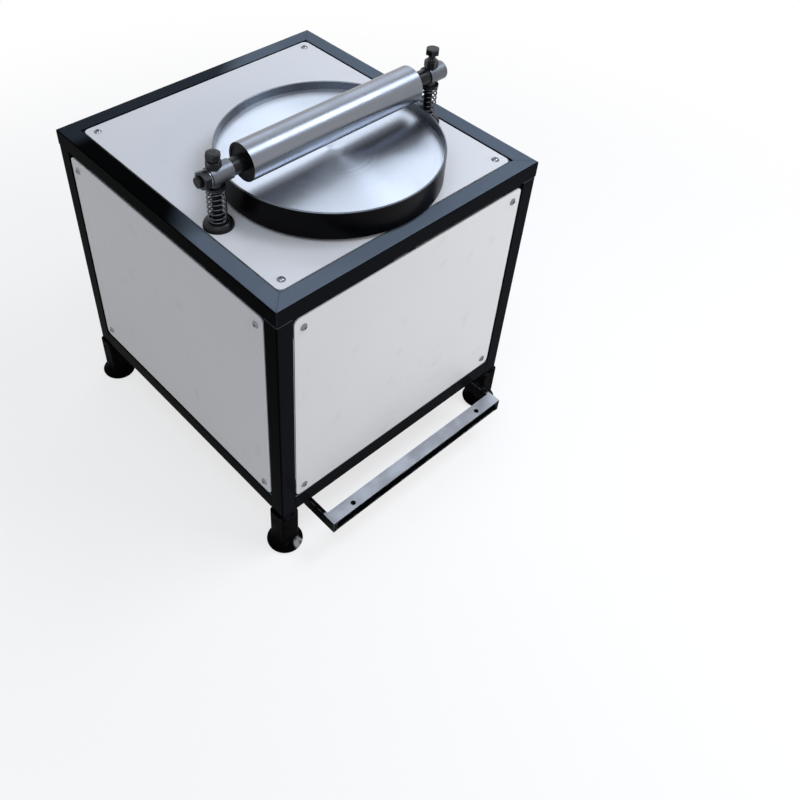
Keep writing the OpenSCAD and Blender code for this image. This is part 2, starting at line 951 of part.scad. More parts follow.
module spindle_housing() {
    seat_r = bearing_d / 2 + seat_fit;
    color("#6f7276")
        difference() {
            translate([0, dish_y, 0])
                union() {
                    translate([0, 0, housing_under])
                        cylinder(d = housing_d, h = housing_len);
                    translate([0, 0, beam_under - housing_flange_t])
                        linear_extrude(housing_flange_t)
                            rounded_rect(housing_flange_w, beam_pitch + tube, tube / 2);
                }
            translate([0, dish_y, housing_under - 1])
                cylinder(d = shoulder_d, h = housing_len + 2);
            for (z = [housing_under - 1, beam_under - bearing_w])
                translate([0, dish_y, z])
                    cylinder(r = seat_r, h = bearing_w + 1);
            at_housing_bolts()
                translate([0, 0, beam_under - housing_flange_t - 1])
                    cylinder(d = housing_bolt_d + 2 * bolt_fit, h = housing_flange_t + 2);
        }
}

// Bearing with its shield a little below the two ring faces
function bearing_outline() =
    let (r0 = spindle_d / 2 + run_fit, r1 = bearing_d / 2, race = (r1 - r0) / 4, dip = 0.6)
    [
        [r0, 0], [r0 + race, 0], [r0 + race, dip], [r1 - race, dip], [r1 - race, 0], [r1, 0],
        [r1, bearing_w], [r1 - race, bearing_w], [r1 - race, bearing_w - dip],
        [r0 + race, bearing_w - dip], [r0 + race, bearing_w], [r0, bearing_w]
    ];

module spindle_bearings() {
    color("#c3c5c8")
        for (z = [housing_under, beam_under - bearing_w])
            translate([0, dish_y, z])
                rotate_extrude()
                    polygon(bearing_outline());
}

module housing_bolts() {
    color("#9a9da1")
        at_housing_bolts()
            translate([0, 0, beam_under - housing_flange_t])
                rotate([180, 0, 0])
                    hex_bolt(
                        housing_bolt_d,
                        1.6 * housing_bolt_d,
                        0.65 * housing_bolt_d,
                        housing_flange_t + tube_wall + housing_bolt_d
                    );
}

module spindle() {
    color("#a9acb0")
        translate([0, dish_y, 0]) {
            translate([0, 0, spindle_low])
                cylinder(d = spindle_d, h = spindle_high - spindle_low);
            translate([0, 0, shoulder_z])
                cylinder(d = shoulder_d, h = shoulder_h);
        }
}

module at_hub_screws() {
    for (turn = [45 : 90 : 315])
        translate([hub_screw_pcd / 2 * cos(turn), dish_y + hub_screw_pcd / 2 * sin(turn), 0])
            children();
}

module dish_hub() {
    color("#8b8e92")
        difference() {
            translate([0, dish_y, 0])
                union() {
                    translate([0, 0, hub_under])
                        cylinder(d = hub_d, h = hub_top - hub_under);
                    translate([0, 0, hub_top - hub_flange_t])
                        cylinder(d = hub_flange_d, h = hub_flange_t);
                }
            translate([0, dish_y, hub_under - 1])
                cylinder(d = spindle_d + 2 * seat_fit, h = hub_top - hub_under + 2);
            at_hub_screws()
                translate([0, 0, hub_top - hub_flange_t - 1])
                    cylinder(d = hub_screw_d + 2 * bolt_fit, h = hub_flange_t + 2);
        }
}

module hub_screws() {
    color("#9a9da1")
        at_hub_screws()
            translate([0, 0, hub_top - hub_flange_t])
                rotate([180, 0, 0])
                    hex_bolt(
                        hub_screw_d,
                        1.6 * hub_screw_d,
                        0.65 * hub_screw_d,
                        hub_flange_t + hub_screw_bite
                    );
}

module dish_floor() {
    color("#c9ccd0")
        difference() {
            translate([0, dish_y, floor_under])
                cylinder(r = rim_in_r - seat_fit, h = floor_t);
            at_hub_screws()
                translate([0, 0, floor_under - 1])
                    cylinder(d = hub_screw_d + 2 * seat_fit, h = hub_screw_bite + 1 + pass_gap);
        }
}

function rim_outline() =
    let (r = dish_d / 2, edge = rim_wall / 2)
    concat(
        [[rim_in_r, skirt_z], [r, skirt_z]],
        [for (a = [0 : 30 : 180]) [r - edge + edge * cos(a), rim_z - edge + edge * sin(a)]],
        [
            [rim_in_r, floor_under], [rim_in_r - ledge_w, floor_under],
            [rim_in_r - ledge_w, floor_under - ledge_t], [rim_in_r, floor_under - ledge_t]
        ]
    );

module dish_rim() {
    color("#b5b8bc")
        translate([0, dish_y, 0])
            rotate_extrude($fn = 128)
                polygon(rim_outline());
}

// Belt drive

module flanged_pulley(belt_d, bore_d, hub_od, web_t) {
    rim_r = belt_d / 2 - belt_fit;
    flange_r = rim_r + pulley_flange_h;
    rim_inner_r = rim_r - pulley_rim_t;
    difference() {
        union() {
            cylinder(r = rim_r, h = pulley_w);
            for (z = [0, pulley_w - pulley_flange_t])
                translate([0, 0, z])
                    cylinder(r = flange_r, h = pulley_flange_t);
        }
        if (rim_inner_r > hub_od / 2)
            for (z = [-1, (pulley_w + web_t) / 2])
                translate([0, 0, z])
                    ring(2 * rim_inner_r, hub_od, (pulley_w - web_t) / 2 + 1);
        translate([0, 0, -1])
            cylinder(d = bore_d, h = pulley_w + 2);
    }
}

module big_pulley() {
    hole_ring = (big_pulley_d / 2 - pulley_rim_t + spindle_d) / 2;
    color("#7c7f84")
        translate([0, dish_y, pulley_low])
            difference() {
                flanged_pulley(big_pulley_d, spindle_d + 2 * seat_fit, 2 * spindle_d, pulley_web_t);
                for (turn = [0 : 60 : 300])
                    rotate([0, 0, turn])
                        translate([hole_ring, 0, -1])
                            cylinder(d = big_pulley_d / 8, h = pulley_w + 2);
            }
}

module small_pulley() {
    color("#7c7f84")
        translate([0, motor_y, pulley_low])
            flanged_pulley(small_pulley_d, motor_shaft_d + 2 * seat_fit, small_pulley_d, pulley_w);
}

// Outline of an open belt round two circles, grown by the amount given
module belt_loop(grow) {
    r1 = big_pulley_d / 2 + grow;
    r2 = small_pulley_d / 2 + grow;
    lean = asin((r1 - r2) / belt_centres);
    circle(r = r1, $fn = 128);
    translate([0, belt_centres])
        circle(r = r2);
    polygon([
        r1 * [cos(lean), sin(lean)],
        [0, belt_centres] + r2 * [cos(lean), sin(lean)],
        [0, belt_centres] + r2 * [-cos(lean), sin(lean)],
        r1 * [-cos(lean), sin(lean)]
    ]);
}

module drive_belt() {
    color("#1a1a1a")
        translate([0, dish_y, belt_z - belt_w / 2])
            linear_extrude(belt_w)
                difference() {
                    belt_loop(belt_t);
                    belt_loop(0);
                }
}

module motor_shaft() {
    shaft_low = motor_boss_top - shaft_socket + pass_gap;
    color("#a9acb0")
        translate([0, motor_y, shaft_low])
            cylinder(d = motor_shaft_d, h = pulley_top + motor_shaft_out - shaft_low);
}

module at_motor_bolts() {
    for (sx = [-1, 1], sy = [-1, 1])
        translate([sx * motor_bolt_span / 2, motor_y + sy * motor_bolt_span / 2, 0])
            children();
}

module gear_motor() {
    foot_r = 8;
    case_r = 12;
    head_r = 6;
    fin_pitch = 12;
    fin_cut = 4;
    fin_depth = 3;
    fin_edge = 15;
    terminal = [54, 24, 44];
    case_mid = (plate_top + gear_head_z) / 2;
    color("#5d6166")
        difference() {
            translate([0, motor_y, 0])
                union() {
                    translate([0, 0, plate_top])
                        linear_extrude(motor_foot_t)
                            rounded_rect(motor_foot_w, motor_foot_w, foot_r);
                    translate([0, 0, plate_top + fine])
                        linear_extrude(gear_head_z - plate_top - fine)
                            rounded_rect(motor_w, motor_w, case_r);
                    translate([0, 0, gear_head_z - fine])
                        linear_extrude(gear_head_top - gear_head_z + fine)
                            rounded_rect(gear_head_w, gear_head_w, head_r);
                    translate([0, 0, gear_head_top - fine])
                        cylinder(d = motor_boss_d, h = motor_boss_h + fine);
                    translate([-terminal[0] / 2, motor_w / 2 - fine, case_mid - terminal[2] / 2])
                        cube(terminal + [0, fine, 0]);
                }
            for (z = [plate_top + motor_foot_t + fin_pitch : fin_pitch : gear_head_z - fin_pitch / 2])
                for (sx = [-1, 1])
                    translate([sx * motor_w / 2, motor_y, z])
                        cube([2 * fin_depth, motor_w - 2 * fin_edge, fin_cut], center = true);
            translate([0, motor_y, motor_boss_top - shaft_socket])
                cylinder(d = motor_shaft_d + 2 * run_fit, h = shaft_socket + 1);
            at_motor_bolts() {
                translate([0, 0, plate_top - 1])
                    cylinder(d = motor_bolt_d + 2 * bolt_fit, h = motor_foot_t + 2);
                translate([0, 0, plate_top + motor_foot_t])
                    cylinder(d = motor_bolt_af / cos(30) + 2 * pass_gap, h = motor_h);
            }
        }
}

module motor_plate() {
    plate_half = frame_w / 2 - panel_recess - panel_t - tab_t - 2 * pass_gap;
    color("#1b1c20")
        difference() {
            translate([0, motor_y, rail_top + motor_plate_t / 2])
                cube([2 * plate_half, motor_foot_w, motor_plate_t], center = true);
            at_motor_bolts()
                translate([0, 0, rail_top - 1])
                    cylinder(d = motor_bolt_d + 2 * bolt_fit, h = motor_plate_t + 2);
        }
}

module motor_bolts() {
    nut_h = 0.8 * motor_bolt_d;
    thread_past = 3;
    color("#9a9da1")
        at_motor_bolts() {
            translate([0, 0, plate_top + motor_foot_t])
                hex_bolt(
                    motor_bolt_d,
                    motor_bolt_af,
                    0.65 * motor_bolt_d,
                    motor_foot_t + motor_plate_t + nut_h + thread_past
                );
            translate([0, 0, rail_top - nut_h])
                hex_nut(motor_bolt_d, motor_bolt_af, nut_h);
        }
}

// Roller and its holders

module roller_tube() {
    color("#cfd2d6")
        translate([0, dish_y, roller_z])
            difference() {
                rod_x(roller_d, -roller_len / 2, roller_len / 2);
                rod_x(roller_d - 2 * roller_wall, -roller_len / 2 - 1, roller_len / 2 + 1);
            }
}

// Mirrors the right end's shape to both ends of the roller
module both_ends() {
    for (side = [0, 1])
        translate([0, dish_y, roller_z])
            mirror([side, 0, 0])
                children();
}

module roller_caps() {
    face = roller_len / 2 - cap_recess;
    color("#1a1b1e")
        both_ends() {
            difference() {
                rod_x(roller_d - 2 * roller_wall - 2 * seat_fit, face - cap_t, face);
                rod_x(roller_bush_d + 2 * seat_fit, face - cap_t - 1, face + 1);
                for (sy = [-1, 1])
                    translate([0, sy * cap_screw_r, 0])
                        rod_x(cap_screw_d + 2 * seat_fit, face - cap_t / 2, face + 1);
            }
            for (sy = [-1, 1])
                translate([0, sy * cap_screw_r, 0])
                    rod_x(cap_screw_d, face - cap_t / 2 + seat_fit, face + cap_recess / 2);
        }
}

module roller_bushes() {
    color("#b08d57")
        both_ends()
            difference() {
                rod_x(roller_bush_d, roller_len / 2 - roller_bush_len, roller_len / 2);
                rod_x(shaft_d + 2 * run_fit, roller_len / 2 - roller_bush_len - 1, roller_len / 2 + 1);
            }
}

module roller_shaft() {
    step_x = -post_x - boss_reach;
    color("#a9acb0")
        translate([0, dish_y, roller_z]) {
            rod_x(shaft_d, step_x, shaft_right);
            rod_x(end_thread_d, shaft_left, step_x + fine);
        }
}

module roller_holder(ends) {
    difference() {
        union() {
            translate([0, 0, roller_z])
                rod_x(boss_d, ends[0], ends[1]);
            translate([0, 0, neck_z])
                cylinder(d = neck_d, h = neck_len);
        }
        translate([0, 0, roller_z])
            rod_x(shaft_d + 2 * seat_fit, ends[0] - 1, ends[1] + 1);
        translate([0, 0, neck_z - 1])
            cylinder(d = rod_d + 2 * seat_fit, h = rod_top - neck_z + 1 + seat_fit);
        translate([0, 0, roller_z])
            cylinder(d = clamp_d + 2 * seat_fit, h = boss_d);
        translate([0, 0, spot_z])
            cylinder(d = clamp_af / cos(30) + 2 * pass_gap, h = boss_d);
    }
}

module roller_holders() {
    color("#85888c") {
        translate([-post_x, dish_y, 0])
            roller_holder(left_boss_ends);
        translate([post_x, dish_y, 0])
            roller_holder(right_boss_ends);
    }
}

module spacer_collars() {
    left_boss = -post_x + left_boss_ends[1];
    right_boss = post_x + right_boss_ends[0];
    bore = shaft_d + 2 * seat_fit;
    color("#1a1b1e")
        translate([0, dish_y, roller_z])
            difference() {
                union() {
                    rod_x(spacer_d, left_boss, -roller_len / 2 - pass_gap);
                    rod_x(spacer_d, roller_len / 2 + pass_gap, right_boss);
                }
                rod_x(bore, -post_x, post_x);
            }
}

module clamp_bolts() {
    color("#3a3b3f")
        for (side = [-1, 1])
            translate([side * post_x, dish_y, 0]) {
                head_z = spot_z + lock_nut_h + (side < 0 ? clamp_out_left : clamp_out_right);
                tip_z = roller_z + shaft_d / 2 + seat_fit;
                translate([0, 0, head_z])
                    rotate([0, 0, side < 0 ? 47 : 40])
                        hex_bolt(clamp_d, clamp_af, clamp_head_h, head_z - tip_z);
            }
}

module lock_nuts() {
    color("#3a3b3f")
        for (side = [-1, 1])
            translate([side * post_x, dish_y, spot_z])
                rotate([0, 0, side < 0 ? 30 : 8])
                    hex_nut(clamp_d, clamp_af, lock_nut_h);
}

module end_nut() {
    washer_x = -post_x - boss_reach;
    color("#8d9095")
        translate([washer_x, dish_y, roller_z])
            rotate([0, -90, 0]) {
                ring(washer_d, end_thread_d + 2 * seat_fit, washer_t);
                translate([0, 0, washer_t + seat_fit])
                    hex_nut(end_thread_d, end_nut_af, end_nut_h);
            }
}

module spring_collars() {
    color("#26272b")
        both_sides()
            translate([0, 0, collar_z])
                ring(collar_d, rod_d + 2 * seat_fit, collar_h);
}

module pull_rods() {
    rod_low = arm_top + rod_end_rise;
    slot_d = pin_d + 2 * run_fit;
    color("#4a4c50")
        both_sides()
            difference() {
                union() {
                    translate([0, 0, rod_low])
                        cylinder(d = rod_d, h = rod_top - rod_low);
                    translate([-eye_t / 2, -eye_r, pivot_z])
                        cube([eye_t, 2 * eye_r, rod_low + rod_d - pivot_z]);
                    translate([0, 0, pivot_z])
                        rod_x(2 * eye_r, -eye_t / 2, eye_t / 2);
                }
                translate([0, 0, pivot_z]) {
                    cube([2 * eye_t, 2 * slot_room, slot_d], center = true);
                    for (sy = [-1, 1])
                        translate([0, sy * slot_room, 0])
                            rod_x(slot_d, -eye_t, eye_t);
                }
            }
}

// Pedal

module pedal_bar() {
    color("#17181b")
        difference() {
            translate([-arm_in, pedal_front, arm_top - bar_h])
                cube([2 * arm_in, bar_w, bar_h]);
            translate([-arm_in - 1, pedal_front - 1, arm_top - bar_h + bar_wall])
                cube([2 * arm_in + 2, bar_w - bar_wall + 1, bar_h - 2 * bar_wall]);
            for (sx = [-1, 1])
                translate([sx * bar_hole_span / 2, bar_hole_y, arm_top - bar_wall - 1])
                    cylinder(d = bar_hole_d, h = bar_wall + 2);
        }
}

module pedal_arms() {
    color("#17181b")
        for (side = [-1, 1])
            translate([side * arm_x, 0, 0])
                difference() {
                    union() {
                        translate([-arm_t / 2, pedal_front, arm_top - arm_h])
                            cube([arm_t, pivot_y - pedal_front, arm_h]);
                        translate([0, pivot_y, pivot_z])
                            rod_x(arm_h, -arm_t / 2, arm_t / 2);
                    }
                    translate([0, pivot_y, pivot_z])
                        rod_x(pivot_d + 2 * seat_fit, -arm_t, arm_t);
                    translate([0, dish_y, pivot_z])
                        rod_x(pin_d + 2 * seat_fit, -arm_t, arm_t);
                }
}

module pedal_shaft() {
    shaft_past = 2;
    collar_x = pivot_plate_out + pass_gap;
    end_x = collar_x + pivot_collar_t + shaft_past;
    color("#8d9095")
        translate([0, pivot_y, pivot_z]) {
            rod_x(pivot_d, -end_x, end_x);
            for (x = [-collar_x - pivot_collar_t, collar_x])
                difference() {
                    rod_x(pivot_collar_d, x, x + pivot_collar_t);
                    rod_x(pivot_d + 2 * seat_fit, x - 1, x + pivot_collar_t + 1);
                }
        }
}

module link_pins() {
    color("#8d9095")
        for (side = [0, 1])
            mirror([side, 0, 0])
                translate([0, dish_y, pivot_z]) {
                    rod_x(pin_d, arm_in - pin_head_t, eye_out + pass_gap + pin_head_t);
                    rod_x(pin_head_d, arm_in - pin_head_t, arm_in);
                    rod_x(pin_head_d, eye_out + pass_gap, eye_out + pass_gap + pin_head_t);
                }
}

module pivot_brackets() {
    rear_y = frame_d / 2 - tube_r;
    color("#1b1c20")
        for (side = [0, 1])
            mirror([side, 0, 0])
                difference() {
                    union() {
                        translate([0, pivot_y, pivot_z])
                            rod_x(2 * pivot_plate_r, pivot_plate_x, pivot_plate_out);
                        translate([pivot_plate_x, pivot_y, pivot_z])
                            cube([pivot_plate_t, rear_y - pivot_y, rail_under - pivot_z]);
                        translate([pivot_plate_x, pivot_y - pivot_plate_r, pivot_z])
                            cube([pivot_plate_t, 2 * pivot_plate_r, rail_under - pivot_z]);
                    }
                    translate([0, pivot_y, pivot_z])
                        rod_x(pivot_d + 2 * run_fit, pivot_plate_x - 1, pivot_plate_out + 1);
                }
}

// Switch and cable gland on the rear panel, with local z = 0 on its outer face

module on_switch() {
    on_face("rear")
        translate([switch_x, switch_z - side_mid_z, -panel_recess])
            children();
}

module on_gland() {
    on_face("rear")
        translate([-switch_x, gland_z - side_mid_z, -panel_recess])
            children();
}

module switch_body() {
    well = [switch_w - 2 * bezel_w, switch_h - 2 * bezel_w];
    well_depth = switch_pivot_depth + rocker_half;
    pin_end = well[0] / 2 + rocker_pin_in;
    color("#1a1a1c")
        on_switch()
            difference() {
                union() {
                    translate([0, 0, -switch_depth / 2])
                        cube([switch_w, switch_h, switch_depth], center = true);
                    linear_extrude(bezel_t)
                        rounded_rect(switch_w + 2 * bezel_w, switch_h + 2 * bezel_w, bezel_w);
                }
                translate([-well[0] / 2, -well[1] / 2, -well_depth])
                    cube([well[0], well[1], well_depth + bezel_t + 1]);
                translate([0, 0, -switch_pivot_depth])
                    rod_x(rocker_pin_d + 2 * run_fit, -pin_end - seat_fit, pin_end + seat_fit);
            }
}

module switch_rocker() {
    half_w = switch_w / 2 - bezel_w - pass_gap;
    pin_end = switch_w / 2 - bezel_w + rocker_pin_in;
    crown = switch_pivot_depth + bezel_t + rocker_rise;
    root = -rocker_pin_d;
    taper = 2;
    nose = 0.6;
    hollow = 2;
    color("#7d1515")
        on_switch()
            translate([0, 0, -switch_pivot_depth])
                rotate([rocker_tilt, 0, 0]) {
                    rotate([90, 0, 90])
                        linear_extrude(2 * half_w, center = true)
                            polygon([
                                [-rocker_half + taper, root],
                                [rocker_half - taper, root],
                                [rocker_half - nose, crown],
                                [0, crown - hollow],
                                [-rocker_half + nose, crown]
                            ]);
                    rod_x(rocker_pin_d, -pin_end, pin_end);
                }
}

module cable_gland() {
    cap_af = 1.4 * gland_d;
    nut_t = 5;
    thread_past = 4;
    thread_len = panel_t + nut_t + thread_past;
    color("#1a1a1c")
        on_gland()
            difference() {
                union() {
                    hex(cap_af, gland_cap_len / 2);
                    cylinder(d = 1.25 * gland_d, h = gland_cap_len);
                    translate([0, 0, -thread_len])
                        cylinder(d = gland_d, h = thread_len + fine);
                    translate([0, 0, -panel_t - nut_t])
                        hex(cap_af, nut_t);
                }
                translate([0, 0, -thread_len - 1])
                    cylinder(d = gland_bore_d, h = thread_len + gland_cap_len + 2);
            }
}

module placed() {
    translate([0, plan_shift, 0])
        children();
}

placed() post_front_left();
placed() post_front_right();
placed() post_rear_left();
placed() post_rear_right();
placed() top_rail_front();
placed() top_rail_rear();
placed() top_rail_left();
placed() top_rail_right();
placed() bottom_rail_front();
placed() bottom_rail_rear();
placed() bottom_rail_left();
placed() bottom_rail_right();
placed() rubber_feet();
placed() top_panel();
placed() front_panel();
placed() rear_panel();
placed() left_panel();
placed() right_panel();
placed() panel_tabs();
placed() panel_screws();
placed() guide_brackets();
placed() guide_bushes();
placed() spring_seats();
placed() spring_left();
placed() spring_right();
placed() cross_beams();
placed() spindle_housing();
placed() spindle_bearings();
placed() housing_bolts();
placed() motor_plate();
placed() gear_motor();
placed() motor_bolts();
placed() drive_belt();
placed() cable_gland();
placed() switch_body();
placed() pivot_brackets();
placed() dish_floor();
placed() dish_rim();
placed() dish_hub();
placed() hub_screws();
placed() spindle();
placed() big_pulley();
placed() motor_shaft();
placed() small_pulley();
placed() pull_rods();
placed() roller_holders();
placed() roller_shaft();
placed() clamp_bolts();
placed() lock_nuts();
placed() end_nut();
placed() spring_collars();
placed() spacer_collars();
placed() roller_tube();
placed() roller_caps();
placed() roller_bushes();
placed() pedal_bar();
placed() pedal_arms();
placed() pedal_shaft();
placed() link_pins();
placed() switch_rocker();
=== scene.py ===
"""Papad rolling machine: black tube frame with pale panels, turning steel dish and sprung roller.

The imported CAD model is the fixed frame. This script sets the camera and the light, gives every node
a finish made of shader nodes, and builds the pieces that plain solids leave simple: the two wound
springs, and the chamfered bolts, nuts and washer. All is in metres, in the frame of the CAD model.
"""

import math

import bmesh
import bpy
from mathutils import Matrix, Vector


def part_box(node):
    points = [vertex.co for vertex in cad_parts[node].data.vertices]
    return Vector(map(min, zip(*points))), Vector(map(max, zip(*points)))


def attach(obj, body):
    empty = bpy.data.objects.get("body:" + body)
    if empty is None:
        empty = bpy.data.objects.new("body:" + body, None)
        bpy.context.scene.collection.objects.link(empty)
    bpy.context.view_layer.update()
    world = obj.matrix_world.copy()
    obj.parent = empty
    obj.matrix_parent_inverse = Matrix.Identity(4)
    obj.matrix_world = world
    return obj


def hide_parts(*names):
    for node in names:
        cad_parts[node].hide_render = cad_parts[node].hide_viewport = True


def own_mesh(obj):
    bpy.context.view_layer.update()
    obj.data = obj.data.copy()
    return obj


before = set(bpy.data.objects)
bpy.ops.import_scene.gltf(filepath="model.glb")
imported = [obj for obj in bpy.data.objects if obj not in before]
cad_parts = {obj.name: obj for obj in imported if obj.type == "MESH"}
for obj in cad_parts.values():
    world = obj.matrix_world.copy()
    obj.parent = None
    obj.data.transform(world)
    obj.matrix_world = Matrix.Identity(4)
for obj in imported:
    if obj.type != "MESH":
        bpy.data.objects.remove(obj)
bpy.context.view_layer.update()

# Camera, as measured from the photograph
IMAGE_PX = 800
FOCAL_PX = 913.6
AXIS_PX = (337.17, 333.13)
CAMERA_AT = Vector((-0.67626, -0.79875, 1.19647))
CAMERA_AZIMUTH = math.radians(-43.172)
CAMERA_ELEVATION = math.radians(45.310)
CAMERA_ROLL = math.radians(1.928)
SENSOR_MM = 36

# Light: the ambient level, and for each lamp its place, aim, width, height, watts and tint
AMBIENT = 0.32
AMBIENT_COLOUR = "#fffefc"
KEY_COLOUR = "#dfebff"
SKY_COLOUR = "#dbe8ff"
FILL_COLOUR = "#fffdf8"
UPPER_MIDDLE = (0, 0, 0.45)
FRONT_PANEL = (0.1, -0.25, 0.3)
LAMPS = {
    "window_light": ((1.51, 1.31, 2.10), UPPER_MIDDLE, 1.7, 1.35, 11, KEY_COLOUR),
    "key_light": ((1.0, -0.6, 2.1), UPPER_MIDDLE, 0.8, 0.8, 19, KEY_COLOUR),
    "sky_light": ((-0.75, -0.55, 2.1), UPPER_MIDDLE, 1.2, 1.2, 11, SKY_COLOUR),
    "right_light": ((0.9, -1.5, 1.0), FRONT_PANEL, 0.8, 0.8, 13, FILL_COLOUR),
}
LAMPS_NOT_MIRRORED = ("right_light",)

# Floor: its share of plain white grows from FLOOR_WHITE at the near radius to 1 at the far one
FLOOR_RADIUS = 6
FLOOR_SEGMENTS = 96
FLOOR_COLOURS = ("#f4f4f5", "#fafafa")
FLOOR_CLOUD = 0.8
FLOOR_WHITE = 0.7
FLOOR_NEAR = 0.6
FLOOR_FAR = 1.5

# Finishes in common: a pair is where a mask starts and where it is full
CLOUD_WINDOW = (0.3, 0.7)
EDGE_WINDOW = (0.99, 0.82)
EDGE_SAMPLES = 4
GRAIN_SPAN = 4

# Painted sheen on the top rails, standing for light reflected from their upper faces: full by X - Y,
# faint by Y, and painted shade where it is absent
PAINTED_SHEEN_FULL = (-0.23, -0.15)
PAINTED_SHEEN_FAINT = (0.20, 0.23)
PAINTED_SHEEN_FAINT_SHARE = 0.2

# Worn patch on the front left foot, from the corner of the feet
WORN_SPOT = Vector((0.036, 0.003, 0))
WORN_RADII = (0.011, 0.007)
WORN_HEIGHTS = (0.017, 0.011)

# Dish: pitch of the turning marks, and depths under the rim's outer wall and top
DISH_PITCH = 0.004
RIM_PITCH = 0.003
RIM_SKIN = (0.0006, 0.0003)
RIM_EDGE = (0.0014, 0.0004)

# Pedal: depths under the bar's top, and how far behind the bar the pale part fades out
PALE_TOP_SKIN = (0.0015, 0.0005)
PALE_TOP_BACK = 0.004

# Springs
WIRE = 0.0023
WIRE_SEGMENTS = 12
CURLS = 8
CURL_SEGMENTS = 40
END_GAP = 0.00015
SPRING_FIT = 0.00005

# Bolts and nuts: depth, sink and loop are shares of pitch, thread and crown; turns are in degrees
SIDES = ("left", "right")
SMOOTH_ANGLE = math.radians(38)
HEX_SIDES = 6
HEX_STEPS = 8
HEX_CHAMFER = math.radians(30)
HEX_CROWN = 0.955
THREAD_FIT = 0.0001
THREAD_DEPTH = 0.54
THREAD_STEPS = 6
COUNTERSINK = 0.08
BOLT_D = 0.010
BOLT_ACROSS = 0.017
BOLT_HEAD = 0.008
BOLT_PITCH = 0.0015
BOLT_OUT = {"left": 0.002, "right": 0.009}
BOLT_TURN = {"left": 47, "right": 40}
HEAD_FACE = 0.0004
HEAD_LOOP = 0.55
LOCK_NUT_TURN = {"left": 30, "right": 8}
END_NUT_D = 0.014
END_NUT_ACROSS = 0.022
END_NUT_H = 0.010
WASHER_D = 0.022
WASHER_T = 0.002
WASHER_EDGE = 0.0003


def centre(node):
    """Middle of a CAD node's box."""
    low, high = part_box(node)
    return (low + high) / 2


def colour(text):
    """Linear RGBA of a colour written as #rrggbb."""
    parts = [int(text[i:i + 2], 16) / 255 for i in (1, 3, 5)]
    linear = [p / 12.92 if p <= 0.04045 else ((p + 0.055) / 1.055) ** 2.4 for p in parts]
    return (*linear, 1.0)


